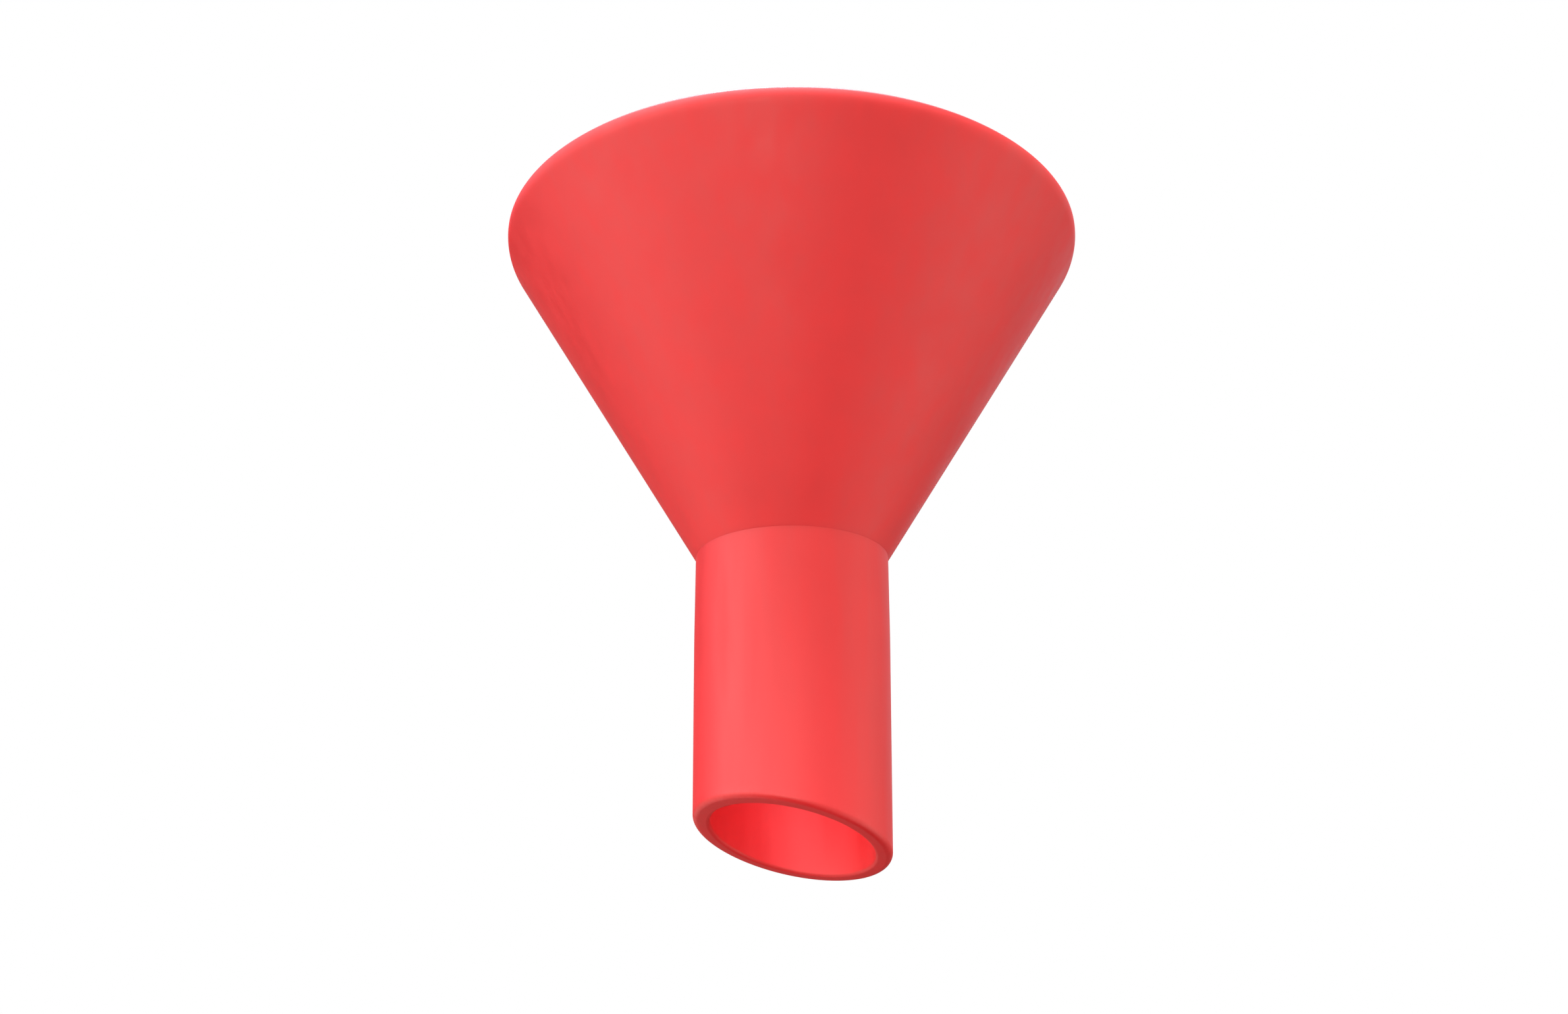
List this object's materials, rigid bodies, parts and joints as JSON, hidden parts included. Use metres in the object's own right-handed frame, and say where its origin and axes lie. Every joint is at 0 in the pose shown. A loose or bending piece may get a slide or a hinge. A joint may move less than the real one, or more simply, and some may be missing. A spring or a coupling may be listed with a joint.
{
  "type": "funnel",
  "caption": "Pouring funnel: a wide open cone with a rounded upright lip over a straight spout whose tip is cut at an angle.",
  "frame": {"origin": "on the funnel's axis at the neck, where the outside of the cone meets the outside of the spout", "axes": "+Z along the axis, up out of the mouth; +X towards the long side of the spout's cut tip, so XZ is the plane of symmetry"},
  "size_m": [0.1006, 0.1006, 0.1091],
  "materials": {
    "red_plastic": "smooth moulded, satin"
  },
  "bodies": {
    "root": {"cone": "red_plastic", "spout": "red_plastic"}
  },
  "joints": []
}
